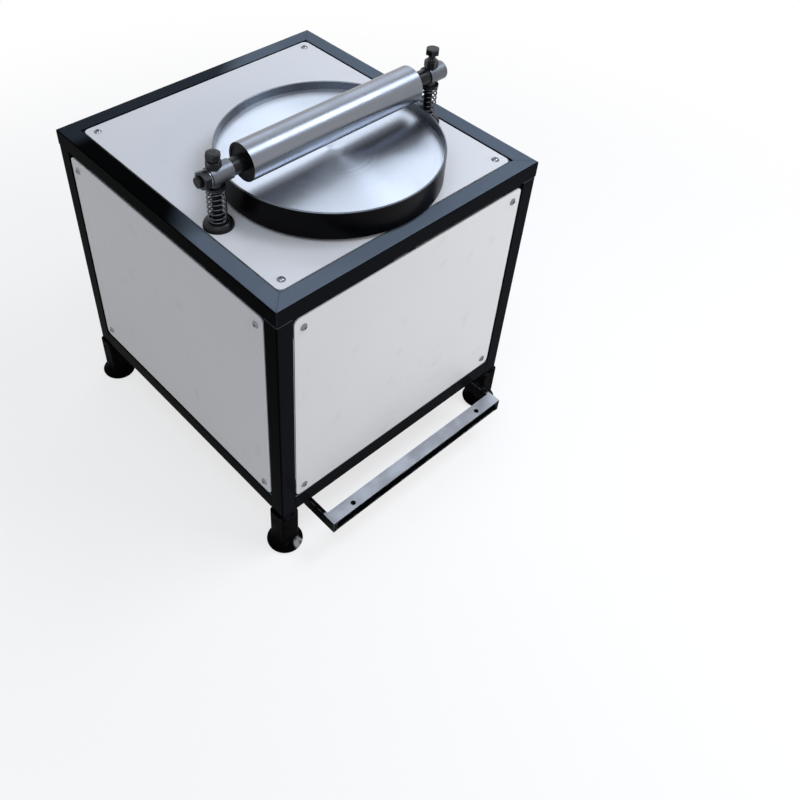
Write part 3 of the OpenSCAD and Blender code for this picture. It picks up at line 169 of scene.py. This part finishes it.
class Finish:
    """A procedural material: one Principled shader and the nodes that feed it."""

    # Sockets of a Mix node that mixes colours
    MIX_INPUTS = (0, 6, 7)
    MIX_OUTPUT = 2

    def __init__(self, name, **sockets):
        self.material = bpy.data.materials.new(name)
        self.material.use_nodes = True
        self.tree = self.material.node_tree
        self.shader = self.tree.nodes["Principled BSDF"]
        for socket, value in sockets.items():
            self.shader.inputs[socket.replace("_", " ")].default_value = value
        self.coordinates = self.node("ShaderNodeTexCoord").outputs["Object"]

    def node(self, kind, **settings):
        """A new node with its settings."""
        made = self.tree.nodes.new(kind)
        for key, value in settings.items():
            setattr(made, key, value)
        return made

    def link(self, value, socket):
        """Feed a socket with a node's output, a colour written as #rrggbb or a plain value."""
        if isinstance(value, bpy.types.NodeSocket):
            self.tree.links.new(value, socket)
        else:
            socket.default_value = colour(value) if isinstance(value, str) else value

    def feed(self, socket, value):
        """Feed a socket of the Principled shader."""
        self.link(value, self.shader.inputs[socket])

    def math(self, operation, first, second=0.0):
        """A number made from one or two others."""
        made = self.node("ShaderNodeMath", operation=operation)
        self.link(first, made.inputs[0])
        self.link(second, made.inputs[1])
        return made.outputs[0]

    def product(self, *masks):
        """All masks multiplied."""
        result, *others = masks
        for mask in others:
            result = self.math("MULTIPLY", result, mask)
        return result

    def vector_math(self, operation, *values):
        """The outputs of a vector operation."""
        made = self.node("ShaderNodeVectorMath", operation=operation)
        for value, socket in zip(values, made.inputs):
            self.link(value, socket)
        return made.outputs

    def spread(self, value, start, end, low=0.0, high=1.0):
        """Map start..end of a value to low..high, held at both ends."""
        made = self.node("ShaderNodeMapRange", interpolation_type="SMOOTHSTEP")
        for socket, number in (("Value", value), ("From Min", start), ("From Max", end),
                               ("To Min", low), ("To Max", high)):
            self.link(number, made.inputs[socket])
        return made.outputs["Result"]

    def mix(self, share, first, second):
        """The first colour where share is 0, the second where it is 1."""
        made = self.node("ShaderNodeMix", data_type="RGBA")
        for value, socket in zip((share, first, second), self.MIX_INPUTS):
            self.link(value, made.inputs[socket])
        return made.outputs[self.MIX_OUTPUT]

    def stretched(self, stretch=(1, 1, 1), shift=(0, 0, 0)):
        """Object coordinates, moved and then stretched by one factor along each axis."""
        moved = self.vector_math("ADD", self.coordinates, shift)[0]
        return self.vector_math("MULTIPLY", moved, stretch)[0]

    def noise(self, size, detail=4, stretch=(1, 1, 1)):
        """Cloudy noise from 0 to 1 with spots about as large as size."""
        made = self.node("ShaderNodeTexNoise")
        self.link(self.stretched(stretch), made.inputs["Vector"])
        made.inputs["Scale"].default_value = 1 / size
        made.inputs["Detail"].default_value = detail
        return made.outputs["Fac"]

    def part(self, vector, name):
        """One axis of a vector."""
        split = self.node("ShaderNodeSeparateXYZ")
        self.link(vector, split.inputs[0])
        return split.outputs[name]

    def axis(self, name):
        """One object coordinate."""
        return self.part(self.coordinates, name)

    def facing(self, name):
        """One axis of the true surface normal."""
        return self.part(self.node("ShaderNodeNewGeometry").outputs["True Normal"], name)

    def radius(self, middle):
        """Distance from an upright axis through a point."""
        flat = self.stretched((1, 1, 0), (-middle.x, -middle.y, 0))
        return self.vector_math("LENGTH", flat)["Value"]

    def edges(self, width):
        """1 along outer edges that a bevel of this width would soften, 0 on flat faces."""
        rounded = self.node("ShaderNodeBevel", samples=EDGE_SAMPLES)
        rounded.inputs["Radius"].default_value = width
        normal = self.node("ShaderNodeNewGeometry").outputs["Normal"]
        along = self.vector_math("DOT_PRODUCT", rounded.outputs[0], normal)["Value"]
        return self.spread(along, *EDGE_WINDOW)

    def rings(self, pitch):
        """Fine rings round the dish axis, from 0 to 1."""
        made = self.node("ShaderNodeTexNoise", noise_dimensions="1D")
        self.link(self.radius(DISH_AXIS), made.inputs["W"])
        made.inputs["Scale"].default_value = 1 / pitch
        made.inputs["Detail"].default_value = 6
        return made.outputs["Fac"]

    def roughness(self, cloud, smooth, rough, window=CLOUD_WINDOW):
        """Roughness that follows a cloudy noise from smooth to rough."""
        self.feed("Roughness", self.spread(cloud, *window, smooth, rough))

    def lathe(self, axis):
        """Gloss drawn out round an axis, as turning marks do it."""
        tangent = self.node("ShaderNodeTangent", direction_type="RADIAL", axis=axis)
        self.feed("Tangent", tangent.outputs[0])

    def bumped(self, height, depth):
        """The material, once its surface has a bump of this depth."""
        made = self.node("ShaderNodeBump")
        made.inputs["Distance"].default_value = depth
        self.link(height, made.inputs["Height"])
        self.feed("Normal", made.outputs[0])
        return self.material


# Finishes
DISH_AXIS = centre("dish_rim")


def black_paint():
    """Gloss enamel with a faint orange peel, worn down along the edges, greyer on faces to the front
    as painted light.

    A painted sheen, standing for light reflected from the upper faces, lies on them: full at the
    front and right, faint along the rear, and none on the far end of the left rail, as painted shade.
    """
    paint = Finish("gloss_black_enamel", IOR=1.03)
    cloud = paint.noise(size=0.06)
    # Painted light: faces that point to the front get a greyer enamel tone, as if more light falls on
    # them.
    front = paint.spread(paint.facing("Y"), start=-0.7, end=-0.95)
    body = paint.mix(front, paint.mix(cloud, "#010202", "#040506"), "#141518")
    # Painted sheen: a blue-grey tone on the upper faces that stands for reflected light, not dust.
    painted_sheen = paint.mix(paint.noise(size=0.09, detail=5), "#515a64", "#626c77")
    slant = paint.math("SUBTRACT", paint.axis("X"), paint.axis("Y"))
    sheen_full = paint.spread(slant, *PAINTED_SHEEN_FULL)
    sheen_faint = paint.spread(paint.axis("Y"), *PAINTED_SHEEN_FAINT, high=PAINTED_SHEEN_FAINT_SHARE)
    up = paint.spread(paint.facing("Z"), start=0.7, end=0.95)
    tone = paint.mix(paint.product(up, paint.math("MAXIMUM", sheen_full, sheen_faint)), body, painted_sheen)
    paint.feed("Base Color", paint.mix(paint.edges(width=0.0012), tone, "#23262c"))
    paint.roughness(cloud, smooth=0.08, rough=0.18, window=(0.3, 0.75))
    return paint.bumped(paint.noise(size=0.0016, detail=2), depth=0.00004)


def panel_sheet():
    """Satin pale sheet with a soft sheen, faint rolling marks and a little grime."""
    sheet = Finish("satin_panel_sheet", Specular_IOR_Level=0.35)
    cloud = sheet.noise(size=0.16, detail=5)
    grime = sheet.spread(sheet.noise(size=0.035, detail=6), start=0.60, end=0.80, high=0.35)
    body = sheet.mix(cloud, "#cbcbcc", "#d5d5d5")
    sheet.feed("Base Color", sheet.mix(grime, body, "#b4b4b4"))
    sheet.roughness(cloud, smooth=0.30, rough=0.42)
    return sheet.bumped(sheet.noise(size=0.0012, detail=3), depth=0.00002)


def foot_rubber():
    """Dull black rubber with a mould grain, scuffed on its outer edges.

    The front left foot has a patch that is worn pale, at WORN_SPOT from the corner of the feet.
    """
    rubber = Finish("foot_rubber_black", Specular_IOR_Level=0.01)
    patches = rubber.spread(rubber.noise(size=0.012), start=0.45, end=0.65)
    scuff = rubber.product(rubber.edges(width=0.002), patches)
    body = rubber.mix(scuff, rubber.mix(rubber.noise(size=0.02), "#010102", "#060607"), "#47484c")
    beside = rubber.spread(rubber.radius(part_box("rubber_feet")[0] + WORN_SPOT), *WORN_RADII)
    low = rubber.spread(rubber.axis("Z"), *WORN_HEIGHTS)
    patchy = rubber.spread(rubber.noise(size=0.006, detail=5), start=0.35, end=0.6, low=0.3)
    rubber.feed("Base Color", rubber.mix(rubber.product(patchy, beside, low), body, "#9b9c9e"))
    rubber.roughness(rubber.noise(size=0.01), smooth=0.5, rough=0.7)
    return rubber.bumped(rubber.noise(size=0.0008, detail=3), depth=0.00008)


def metal(name, dark, light, smooth, rough, grain=0.004, stretch=(1, 1, 1), depth=0.00002):
    """Bare or plated metal: cloudy tone and roughness with a fine grain."""
    plate = Finish(name, Metallic=1.0)
    cloud = plate.noise(grain * GRAIN_SPAN, 5, stretch)
    plate.feed("Base Color", plate.mix(cloud, dark, light))
    plate.roughness(cloud, smooth, rough)
    return plate.bumped(plate.noise(grain / GRAIN_SPAN, 3, stretch), depth)


def moulded(name, dark, light, smooth, rough, grain=0.0006, gloss=0.4):
    """Moulded plastic, rubber or a thick black coat with a fine texture."""
    skin = Finish(name, Specular_IOR_Level=gloss)
    cloud = skin.noise(size=0.02)
    skin.feed("Base Color", skin.mix(cloud, dark, light))
    skin.roughness(cloud, smooth, rough)
    return skin.bumped(skin.noise(grain, detail=3), depth=0.00004)


def black_oxide():
    """Blackened steel: deep grey with an oily sheen, paler where its edges are worn."""
    steel = Finish("black_oxide_steel", Metallic=0.55, Specular_IOR_Level=0.45)
    cloud = steel.noise(size=0.006, detail=5)
    body = steel.mix(cloud, "#08090b", "#141518")
    steel.feed("Base Color", steel.mix(steel.edges(width=0.0007), body, "#5a5c61"))
    steel.roughness(cloud, smooth=0.26, rough=0.42)
    return steel.bumped(steel.noise(size=0.0007, detail=3), depth=0.00002)


def cast_iron():
    """Grey casting with a coarse sand texture."""
    iron = Finish("cast_iron_grey", Metallic=0.7)
    cloud = iron.noise(size=0.012, detail=6)
    iron.feed("Base Color", iron.mix(cloud, "#3d3f43", "#5a5c60"))
    iron.roughness(cloud, smooth=0.48, rough=0.66)
    return iron.bumped(iron.noise(size=0.0018), depth=0.00025)


def turned_steel():
    """Lathe-turned dish floor: rings that spread the light into fans from the middle."""
    steel = Finish("turned_dish_steel", Metallic=1.0,
                   Anisotropic=0.85, Anisotropic_Rotation=0.25)
    rings = steel.rings(DISH_PITCH)
    worn = steel.spread(steel.noise(size=0.05, detail=5), start=0.52, end=0.75, high=0.5)
    steel.feed("Base Color", steel.mix(worn, steel.mix(rings, "#a8aeb6", "#b5bac1"), "#9ca2aa"))
    steel.roughness(rings, smooth=0.28, rough=0.33)
    steel.lathe("Z")
    return steel.bumped(rings, depth=0.000014)


def rim_steel():
    """Dish rim: black outer wall, bare steel edge and inside, the bare steel toned darker than the
    dish floor as painted shade on the inner wall.
    """
    low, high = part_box("dish_rim")
    wall_r = (high.x - low.x) / 2
    steel = Finish("dish_rim_steel", Specular_IOR_Level=0.06)
    inside = steel.spread(steel.radius(DISH_AXIS), *(wall_r - skin for skin in RIM_SKIN), 1, 0)
    edge = steel.spread(steel.axis("Z"), *(high.z - skin for skin in RIM_EDGE))
    bare = steel.math("MAXIMUM", inside, edge)
    cloud = steel.noise(size=0.03, detail=5)
    black = steel.mix(cloud, "#010102", "#040406")
    # Painted shade: the bare steel here is darker than the dish floor's, for the shaded inner wall.
    steel.feed("Base Color", steel.mix(bare, black, steel.mix(cloud, "#5b6067", "#6d727a")))
    steel.feed("Metallic", bare)
    steel.roughness(cloud, smooth=0.24, rough=0.36)
    return steel.bumped(steel.rings(RIM_PITCH), depth=0.00002)


def roller_steel():
    """Polished roller with lengthwise streaks, and end faces painted near black as painted shade."""
    steel = Finish("polished_roller_steel", Metallic=1.0,
                   Anisotropic=0.6, Anisotropic_Rotation=0.25)
    streak = steel.noise(size=0.010, detail=5, stretch=(0.04, 1, 1))
    # Painted shade: the tube's end faces are near black because they face away from the light.
    end_face = steel.spread(steel.math("ABSOLUTE", steel.facing("X")), start=0.6, end=0.9)
    barrel = steel.mix(streak, "#74787f", "#878b93")
    steel.feed("Base Color", steel.mix(end_face, barrel, "#0b0b0d"))
    steel.roughness(steel.noise(size=0.03), smooth=0.26, rough=0.34)
    steel.lathe("X")
    return steel.bumped(streak, depth=0.00003)


def pedal_paint():
    """Black paint, with pale grey bare metal in patches on top of the bar, and chipped along the
    edges.
    """
    bar_back, bar_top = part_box("pedal_bar")[1].yz
    paint = Finish("worn_pedal_paint", IOR=1.05)
    cloud = paint.noise(size=0.03, detail=6)
    up = paint.spread(paint.facing("Z"), start=0.6, end=0.9)
    top = paint.spread(paint.axis("Z"), *(bar_top - skin for skin in PALE_TOP_SKIN))
    ahead = paint.spread(paint.axis("Y"), bar_back + PALE_TOP_BACK, bar_back)
    # Pale grey bare patches on top of the bar.
    pale_top_patches = paint.spread(cloud, start=0.35, end=0.7, low=0.7, high=0.95)
    chips = paint.spread(paint.noise(size=0.008, detail=5), start=0.45, end=0.6, high=0.5)
    chipped = paint.product(paint.edges(width=0.0012), chips)
    bare = paint.math("MAXIMUM", paint.product(up, top, ahead, pale_top_patches), chipped)
    body = paint.mix(paint.noise(size=0.01), "#040506", "#0c0d0f")
    paint.feed("Base Color", paint.mix(bare, body, "#b2b6bd"))
    paint.feed("Metallic", paint.spread(bare, start=0.2, end=0.9, high=0.8))
    paint.roughness(cloud, smooth=0.28, rough=0.42)
    return paint.bumped(paint.noise(size=0.0014, detail=3), depth=0.00005)


def dress_nodes():
    """Give each CAD node its own finish, or that of its material slot."""
    for name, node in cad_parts.items():
        for slot in node.material_slots:
            slot.material = OWN_FINISH.get(name, FINISHES[slot.material.name])


FINISHES = {
    "black_paint": black_paint(),
    "panel_paint": panel_sheet(),
    "foot_rubber": foot_rubber(),
    "bright_zinc": metal("zinc_plated", "#777a7f", "#95989d", smooth=0.18, rough=0.30),
    "bronze": metal("bronze_bush", "#7d5a2b", "#a47a3d", smooth=0.28, rough=0.42),
    "spring_steel": metal("spring_wire", "#383a3e", "#54575c", smooth=0.14, rough=0.24),
    "black_oxide": black_oxide(),
    "cast_iron": cast_iron(),
    "motor_alloy": metal("motor_alloy", "#6d7278", "#868b91", smooth=0.42, rough=0.55,
                         grain=0.008, depth=0.00006),
    "belt_rubber": moulded("belt_rubber_black", "#0c0c0e", "#17171a", smooth=0.55, rough=0.72,
                           grain=0.0015),
    "black_plastic": moulded("black_moulding", "#0e0f11", "#1a1b1e", smooth=0.38, rough=0.52),
    "red_plastic": moulded("red_rocker", "#8e1410", "#a81c16", smooth=0.25, rough=0.36),
    "turned_steel": turned_steel(),
    "polished_steel": metal("polished_bar", "#a0a5ae", "#bcc1c8", smooth=0.16, rough=0.26,
                            grain=0.006, stretch=(0.1, 1, 1)),
    "pedal_paint": pedal_paint(),
    "plain_steel": metal("plain_steel", "#56595e", "#6f7278", smooth=0.36, rough=0.48),
}
# Near-black, low-gloss finish for the roller's shaft, bushes and end caps and for the pull rods:
# partly the dark steel of these parts, partly painted shade on the roller's ends and inside the
# springs.
BLACK_STEEL_AND_SHADE = moulded("black_steel_and_painted_shade", "#020203", "#09090b", smooth=0.30, rough=0.45, gloss=0.12)
OWN_FINISH = {
    "dish_rim": rim_steel(),
    "roller_tube": roller_steel(),
    "roller_shaft": BLACK_STEEL_AND_SHADE,
    "pull_rods": BLACK_STEEL_AND_SHADE,
    "roller_bushes": BLACK_STEEL_AND_SHADE,
    "roller_caps": BLACK_STEEL_AND_SHADE,
    "panel_screws": metal("screw_zinc", "#6b6e73", "#85888d", smooth=0.05, rough=0.10),
}


# Pieces
def loft(bm, rings, closed):
    """Skin a row of rings with equal counts; the ends are capped, or joined where it is closed."""
    rows = [[bm.verts.new(point) for point in ring] for ring in rings]
    pairs = list(zip(rows, rows[1:]))
    if closed:
        pairs.append((rows[-1], rows[0]))
    for low, high in pairs:
        for i, corner in enumerate(low):
            j = (i + 1) % len(low)
            bm.faces.new((corner, low[j], high[j], high[i]))
    if not closed:
        bm.faces.new(reversed(rows[0]))
        bm.faces.new(rows[-1])


def add_piece(name, rings, place, body, slot, closed=False):
    """A mesh lofted through rings, set in place, with its slot's finish, riding on a body."""
    bm = bmesh.new()
    loft(bm, rings, closed)
    bm.transform(place)
    bmesh.ops.recalc_face_normals(bm, faces=bm.faces)
    mesh = bpy.data.meshes.new(name)
    bm.to_mesh(mesh)
    bm.free()
    mesh.shade_smooth()
    mesh.set_sharp_from_angle(angle=SMOOTH_ANGLE)
    mesh.materials.append(FINISHES[slot])
    piece = bpy.data.objects.new(name, mesh)
    bpy.context.collection.objects.link(piece)
    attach(piece, body)
    return piece


def polar(r, a, z):
    """The point at a radius, an angle and a height."""
    return (r * math.cos(a), r * math.sin(a), z)


def turn_angles(turn):
    """Angles of the points round a hexagon, its corners among them."""
    count = HEX_SIDES * HEX_STEPS
    return [turn + math.tau * i / count for i in range(count)]


def circle(r, z, turn=0.0):
    """Ring of one radius, with as many points as a hexagon's."""
    return [polar(r, a, z) for a in turn_angles(turn)]


def hexagon(across, z, drop, turn):
    """Ring round a hexagon; drop, from -1 to 1, bends its corners as a 30 degree chamfer does."""
    ring = []
    for step, a in enumerate(turn_angles(turn)):
        from_flat = math.tau / HEX_SIDES * ((step % HEX_STEPS) / HEX_STEPS - 0.5)
        r = across / 2 / math.cos(from_flat)
        cut = max(0.0, r - HEX_CROWN * across / 2) * math.tan(HEX_CHAMFER)
        ring.append(polar(r, a, z + drop * cut))
    return ring


def thread_rings(low, high, turn):
    """Rings of a bolt's thread between two heights."""
    steps = max(2, round(THREAD_STEPS * (high - low) / BOLT_PITCH))
    rings = []
    for step in range(steps + 1):
        z = low + (high - low) * step / steps
        ring = []
        for a in turn_angles(turn):
            phase = (z / BOLT_PITCH - (a - turn) / math.tau) % 1.0
            r = BOLT_D / 2 - THREAD_DEPTH * BOLT_PITCH * abs(2 * phase - 1)
            ring.append(polar(r, a, z))
        rings.append(ring)
    return rings


def bolt_rings(tip, thread_low, under_head, turn):
    """Hexagon bolt, head up: plain tip, threaded stretch, washer face and chamfered head."""
    core = BOLT_D / 2 - THREAD_DEPTH * BOLT_PITCH
    crown = HEX_CROWN * BOLT_ACROSS / 2
    head_low = under_head + HEAD_FACE
    top = under_head + BOLT_HEAD
    return [
        circle(core, tip, turn),
        circle(core, thread_low, turn),
        *thread_rings(thread_low, under_head, turn),
        circle(crown, under_head, turn),
        circle(crown, head_low, turn),
        hexagon(BOLT_ACROSS, head_low, 0, turn),
        hexagon(BOLT_ACROSS, top, -1, turn),
        circle(crown, top, turn),
        circle(HEAD_LOOP * crown, top, turn),
    ]


def nut_rings(across, d, height, turn=0.0):
    """Hexagon nut with both faces chamfered and a countersunk bore, for a closed loft."""
    bore = d / 2 + THREAD_FIT
    sink = COUNTERSINK * d
    crown = HEX_CROWN * across / 2
    return [
        circle(bore, sink, turn),
        circle(bore + sink, 0, turn),
        circle(crown, 0, turn),
        hexagon(across, 0, 1, turn),
        hexagon(across, height, -1, turn),
        circle(crown, height, turn),
        circle(bore + sink, height, turn),
        circle(bore, height - sink, turn),
    ]


def washer_rings():
    """Flat washer with softened outer edges, for a closed loft."""
    bore = END_NUT_D / 2 + THREAD_FIT
    rim = WASHER_D / 2
    return [
        circle(bore, 0),
        circle(rim - WASHER_EDGE, 0),
        circle(rim, WASHER_EDGE),
        circle(rim, WASHER_T - WASHER_EDGE),
        circle(rim - WASHER_EDGE, WASHER_T),
        circle(bore, WASHER_T),
    ]


def spring_rings(low, high, outer_d):
    """Wire rings of a wound spring with closed, ground ends, along Z."""
    coil_r = outer_d / 2 - WIRE / 2
    end_rise = WIRE + END_GAP
    middle_rise = (high - low - 2 * end_rise) / (CURLS - 2)
    rings = []
    for step in range(CURLS * CURL_SEGMENTS + 1):
        curl = step / CURL_SEGMENTS
        first = min(curl, 1.0)
        last = max(0.0, curl - (CURLS - 1))
        z = low + (first + last) * end_rise + (curl - first - last) * middle_rise
        ring = []
        for k in range(WIRE_SEGMENTS):
            b = math.tau * k / WIRE_SEGMENTS
            height = min(max(z + WIRE / 2 * math.sin(b), low), high)
            ring.append(polar(coil_r + WIRE / 2 * math.cos(b), math.tau * curl, height))
        rings.append(ring)
    return rings


def add_springs():
    """The two return springs, wound over the CAD springs they replace, at their rest length."""
    for side in SIDES:
        node = "spring_" + side
        low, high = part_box(node)
        middle = centre(node)
        place = Matrix.Translation((middle.x, middle.y, 0))
        rings = spring_rings(low.z + SPRING_FIT, high.z - SPRING_FIT, high.x - low.x)
        spring = add_piece("wound_spring_" + side, rings, place, "frame", "spring_steel")
        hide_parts(node)
        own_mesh(spring)


def add_clamp_hardware():
    """Clamp bolts and lock nuts over the two roller holders."""
    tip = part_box("clamp_bolts")[0].z
    nut_low, nut_top = (corner.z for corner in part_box("lock_nuts"))
    for side in SIDES:
        middle = centre("spring_" + side)
        rings = bolt_rings(tip, nut_low, nut_top + BOLT_OUT[side], math.radians(BOLT_TURN[side]))
        place = Matrix.Translation((middle.x, middle.y, 0))
        bolt = add_piece("threaded_clamp_bolt_" + side, rings, place, "carriage", "black_oxide")
        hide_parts("clamp_bolts")
        rings = nut_rings(BOLT_ACROSS, BOLT_D, nut_top - nut_low, math.radians(LOCK_NUT_TURN[side]))
        place = Matrix.Translation((middle.x, middle.y, nut_low))
        nut = add_piece("chamfered_lock_nut_" + side, rings, place, "carriage", "black_oxide",
                        closed=True)
        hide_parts("lock_nuts")


def add_end_nut():
    """Washer and chamfered nut on the left end of the roller shaft."""
    low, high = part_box("end_nut")
    middle = centre("end_nut")
    outward = Matrix.Rotation(math.radians(-90), 4, "Y")
    place = Matrix.Translation((high.x, middle.y, middle.z)) @ outward
    washer = add_piece("rounded_end_washer", washer_rings(), place, "carriage", "bright_zinc",
                       closed=True)
    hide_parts("end_nut")
    rings = nut_rings(END_NUT_ACROSS, END_NUT_D, END_NUT_H)
    place = Matrix.Translation((low.x + END_NUT_H, middle.y, middle.z)) @ outward
    nut = add_piece("chamfered_end_nut", rings, place, "carriage", "black_oxide", closed=True)
    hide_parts("end_nut")


# Stage
def add_camera():
    """The photograph's camera, from its measured place, angles and focal length."""
    a, e, r = CAMERA_AZIMUTH, CAMERA_ELEVATION, CAMERA_ROLL
    back = Vector((math.sin(a) * math.cos(e), -math.cos(a) * math.cos(e), math.sin(e)))
    level = Vector((math.cos(a), math.sin(a), 0))
    upright = back.cross(level)
    right = level * math.cos(r) + upright * math.sin(r)
    up = upright * math.cos(r) - level * math.sin(r)
    data = bpy.data.cameras.new("camera")
    data.sensor_width = SENSOR_MM
    data.lens = FOCAL_PX / IMAGE_PX * SENSOR_MM
    data.shift_x = (IMAGE_PX / 2 - AXIS_PX[0]) / IMAGE_PX
    data.shift_y = (AXIS_PX[1] - IMAGE_PX / 2) / IMAGE_PX
    camera = bpy.data.objects.new("camera", data)
    turned = Matrix((right, up, back)).transposed()
    camera.matrix_world = Matrix.Translation(CAMERA_AT) @ turned.to_4x4()
    bpy.context.collection.objects.link(camera)
    bpy.context.scene.camera = camera


def add_lights():
    """Rectangular soft lamps, out of the camera's sight."""
    for name, (place, target, width, height, watts, tint) in LAMPS.items():
        data = bpy.data.lights.new(name, "AREA")
        data.shape = "RECTANGLE"
        data.size = width
        data.size_y = height
        data.energy = watts
        data.color = colour(tint)[:3]
        lamp = bpy.data.objects.new(name, data)
        lamp.visible_camera = False
        lamp.visible_glossy = name not in LAMPS_NOT_MIRRORED
        turned = (Vector(place) - Vector(target)).to_track_quat("Z", "Y").to_matrix()
        lamp.matrix_world = Matrix.Translation(place) @ turned.to_4x4()
        bpy.context.collection.objects.link(lamp)


def seen_rays(tree):
    """1 for the rays of the camera and of reflections, 0 for the rays that carry diffuse light."""
    path = tree.nodes.new("ShaderNodeLightPath")
    seen = path.outputs["Is Camera Ray"]
    for ray in ("Is Glossy Ray", "Is Transmission Ray"):
        either = tree.nodes.new("ShaderNodeMath")
        either.operation = "MAXIMUM"
        tree.links.new(seen, either.inputs[0])
        tree.links.new(path.outputs[ray], either.inputs[1])
        seen = either.outputs[0]
    return seen


def add_world():
    """Soft ambient light; camera and reflections see a plain white background."""
    world = bpy.data.worlds.new("studio")
    bpy.context.scene.world = world
    world.use_nodes = True
    tree = world.node_tree
    ambient = tree.nodes["Background"]
    ambient.inputs["Color"].default_value = colour(AMBIENT_COLOUR)
    ambient.inputs["Strength"].default_value = AMBIENT
    white = tree.nodes.new("ShaderNodeBackground")
    white.inputs["Color"].default_value = (1, 1, 1, 1)
    white.inputs["Strength"].default_value = 1
    mixed = tree.nodes.new("ShaderNodeMixShader")
    tree.links.new(seen_rays(tree), mixed.inputs[0])
    tree.links.new(ambient.outputs[0], mixed.inputs[1])
    tree.links.new(white.outputs[0], mixed.inputs[2])
    tree.links.new(mixed.outputs[0], tree.nodes["World Output"].inputs["Surface"])


def add_floor():
    """A wide pale floor that keeps the object's soft shadow and turns white further away."""
    bm = bmesh.new()
    bmesh.ops.create_circle(bm, cap_ends=True, segments=FLOOR_SEGMENTS, radius=FLOOR_RADIUS)
    mesh = bpy.data.meshes.new("floor")
    bm.to_mesh(mesh)
    bm.free()
    matt = Finish("matt_floor", Roughness=0.9, Specular_IOR_Level=0.0)
    matt.feed("Base Color", matt.mix(matt.noise(FLOOR_CLOUD), *FLOOR_COLOURS))
    white = matt.node("ShaderNodeEmission")
    mixed = matt.node("ShaderNodeMixShader")
    away = matt.spread(matt.radius(Vector()), FLOOR_NEAR, FLOOR_FAR, FLOOR_WHITE, 1)
    matt.link(matt.product(seen_rays(matt.tree), away), mixed.inputs[0])
    matt.link(matt.shader.outputs[0], mixed.inputs[1])
    matt.link(white.outputs[0], mixed.inputs[2])
    matt.link(mixed.outputs[0], matt.tree.nodes["Material Output"].inputs["Surface"])
    mesh.materials.append(matt.material)
    floor = bpy.data.objects.new("floor", mesh)
    bpy.context.collection.objects.link(floor)


bpy.context.scene.view_settings.view_transform = "Standard"
add_camera()
add_world()
add_lights()
add_floor()
dress_nodes()
add_springs()
add_clamp_hardware()
add_end_nut()
